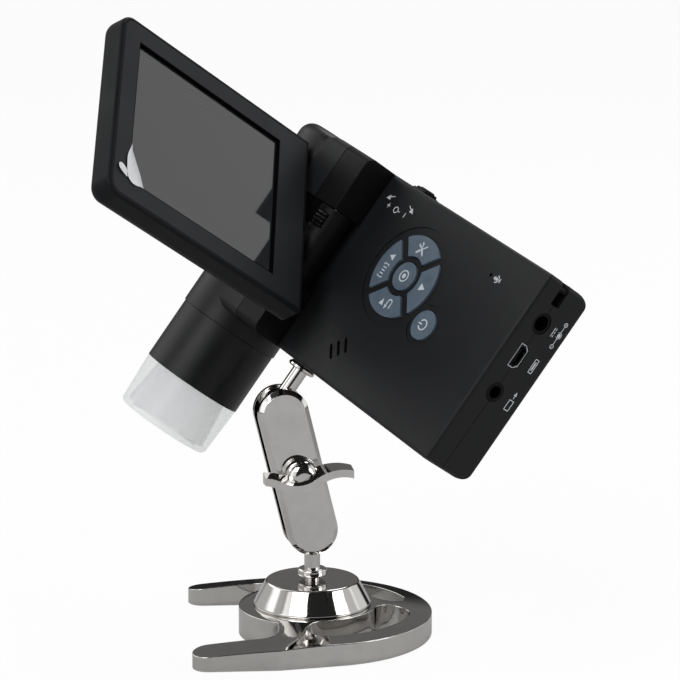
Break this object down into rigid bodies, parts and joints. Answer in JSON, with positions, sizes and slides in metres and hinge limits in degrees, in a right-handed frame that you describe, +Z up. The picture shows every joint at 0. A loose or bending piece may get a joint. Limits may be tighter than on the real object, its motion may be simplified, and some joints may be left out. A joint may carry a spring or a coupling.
{
  "type": "lcd digital microscope",
  "caption": "Handheld digital microscope with a flip-out turning screen, keypad, side ports and a clear-capped lens tube, on a double ball arm with a legged base.",
  "frame": {"origin": "under the base on the axis of the upright post", "axes": "+Z up along the post; -X towards the two legs of the base; -Y towards the wing nut and the screen"},
  "size_m": [0.1424, 0.1227, 0.1955],
  "materials": {
    "plated_base": "polished nickel plating on cast zinc",
    "plated_arm": "polished nickel plating on steel",
    "steel": "plain steel",
    "pad_rubber": "matt rubber",
    "black_abs": "fine textured black ABS",
    "tube_abs": "satin black ABS",
    "bezel_abs": "satin black ABS",
    "key_plastic": "slate grey keycap plastic",
    "clear_acrylic": "clear moulded acrylic",
    "optic_glass": "coated optical glass",
    "screen_glass": "dark cover glass",
    "film": "thin protective film",
    "panel": "dark display panel",
    "board": "solder masked circuit board",
    "white_board": "white solder masked board",
    "led_lens": "epoxy lens",
    "chip": "sensor package",
    "cell": "wrapped cell",
    "brass": "turned brass",
    "jack_plastic": "black nylon",
    "carrier_metal": "black anodised aluminium",
    "speaker_body": "speaker can"
  },
  "bodies": {
    "base": {"base_plate": "plated_base", "foot_pad": "pad_rubber", "turret": "plated_base", "post_nut": "steel"},
    "post": {"lower_ball_stud": "plated_arm"},
    "arm": {"front_plate": "plated_arm", "rear_plate": "plated_arm", "clamp_bolt": "plated_arm", "bolt_washer": "plated_arm"},
    "wing": {"wing_nut": "plated_arm"},
    "stud": {"upper_ball_stud": "plated_arm"},
    "head": {"front_shell": "black_abs", "back_shell": "black_abs", "upper_hinge_base": "black_abs", "lower_hinge_base": "black_abs", "upper_hinge_cap": "black_abs", "lower_hinge_cap": "black_abs", "hinge_pins": "steel", "tube_housing": "tube_abs", "sensor_board": "board", "image_sensor": "chip", "main_board": "board", "key_board": "board", "battery": "cell", "battery_cover": "black_abs", "case_screws": "steel", "thread_insert": "brass", "speaker": "speaker_body", "microphone": "steel", "dc_jack": "jack_plastic", "usb_shell": "steel", "usb_tongue": "jack_plastic", "av_jack": "jack_plastic", "card_socket": "steel", "wheel_mount": "steel", "strap_bar": "black_abs"},
    "focus": {"focus_sleeve": "tube_abs", "led_board": "white_board", "leds": "led_lens", "clear_cap": "clear_acrylic"},
    "lens": {"lens_carrier": "carrier_metal", "front_lens": "optic_glass", "rear_lens": "optic_glass"},
    "flip": {"hinge_barrel": "black_abs", "hinge_ribs": "steel"},
    "pivot": {"swivel_shaft": "steel"},
    "screen": {"screen_bezel": "bezel_abs", "screen_back": "bezel_abs", "display_panel": "panel", "screen_glass": "screen_glass", "screen_film": "film"},
    "wheel": {"bright_wheel": "black_abs"},
    "ok_button": {"ok_key": "key_plastic"},
    "up_button": {"up_key": "key_plastic"},
    "right_button": {"right_key": "key_plastic"},
    "down_button": {"down_key": "key_plastic"},
    "left_button": {"left_key": "key_plastic"},
    "power_button": {"power_key": "key_plastic"}
  },
  "joints": [
    {"name": "stand_spin", "type": "hinge", "parent": "base", "child": "post", "pos_m": [0, 0, 0.031], "axis": [0, 0, 1], "continuous": true},
    {"name": "arm_tilt", "type": "hinge", "parent": "post", "child": "arm", "pos_m": [0, 0, 0.031], "axis": [-0.1582, 0.9874, 0], "range_deg": [-25, 30]},
    {"name": "wing_turn", "type": "hinge", "parent": "arm", "child": "wing", "pos_m": [-0.00366, -0.01071, 0.05276], "axis": [-0.1582, 0.9874, 0], "range_deg": [0, 170]},
    {"name": "head_tilt", "type": "hinge", "parent": "arm", "child": "stud", "pos_m": [-0.01048, -0.00168, 0.07453], "axis": [-0.1582, 0.9874, 0], "range_deg": [-60, 20]},
    {"name": "head_spin", "type": "hinge", "parent": "stud", "child": "head", "pos_m": [-0.01048, -0.00168, 0.07453], "axis": [0.572, 0.0916, 0.8151], "range_deg": [-25, 60]},
    {"name": "focus_turn", "type": "hinge", "parent": "head", "child": "focus", "pos_m": [-0.02189, 0.02652, 0.09679], "axis": [0.572, 0.0916, 0.8151], "range_deg": [-140, 140]},
    {"name": "lens_travel", "type": "slide", "parent": "head", "child": "lens", "axis": [0.572, 0.0916, 0.8151], "range_m": [-0.0026, 0.0026]},
    {"name": "screen_flip", "type": "hinge", "parent": "head", "child": "flip", "pos_m": [0.00108, 0.0031, 0.12274], "axis": [-0.572, -0.0916, -0.8151], "range_deg": [-90, 0]},
    {"name": "screen_level", "type": "hinge", "parent": "flip", "child": "pivot", "pos_m": [0.00005, 0.00503, 0.12325], "axis": [-0.6791, -0.5045, 0.5332], "range_deg": [-45, 0]},
    {"name": "screen_swivel", "type": "hinge", "parent": "pivot", "child": "screen", "pos_m": [0.00005, 0.00503, 0.12325], "axis": [-0.6791, -0.5045, 0.5332], "range_deg": [0, 135]},
    {"name": "wheel_turn", "type": "hinge", "parent": "head", "child": "wheel", "pos_m": [0.03294, 0.00341, 0.13464], "axis": [0.4601, -0.8585, -0.2263], "range_deg": [-135, 135]},
    {"name": "ok_press", "type": "slide", "parent": "head", "child": "ok_button", "axis": [0.6791, 0.5045, -0.5332], "range_m": [0, 0.0005], "stiffness_N_per_m": 900, "springref_m": -0.0003},
    {"name": "up_press", "type": "slide", "parent": "head", "child": "up_button", "axis": [0.6791, 0.5045, -0.5332], "range_m": [0, 0.0005], "stiffness_N_per_m": 900, "springref_m": -0.0003},
    {"name": "right_press", "type": "slide", "parent": "head", "child": "right_button", "axis": [0.6791, 0.5045, -0.5332], "range_m": [0, 0.0005], "stiffness_N_per_m": 900, "springref_m": -0.0003},
    {"name": "down_press", "type": "slide", "parent": "head", "child": "down_button", "axis": [0.6791, 0.5045, -0.5332], "range_m": [0, 0.0005], "stiffness_N_per_m": 900, "springref_m": -0.0003},
    {"name": "left_press", "type": "slide", "parent": "head", "child": "left_button", "axis": [0.6791, 0.5045, -0.5332], "range_m": [0, 0.0005], "stiffness_N_per_m": 900, "springref_m": -0.0003},
    {"name": "power_press", "type": "slide", "parent": "head", "child": "power_button", "axis": [0.6791, 0.5045, -0.5332], "range_m": [0, 0.0005], "stiffness_N_per_m": 900, "springref_m": -0.0003}
  ],
  "couplings": [
    {"joint": "focus_turn", "follows": "lens_travel", "rad_per_m": 921},
    {"joint": "screen_level", "follows": "screen_flip", "ratio": 0.5}
  ]
}
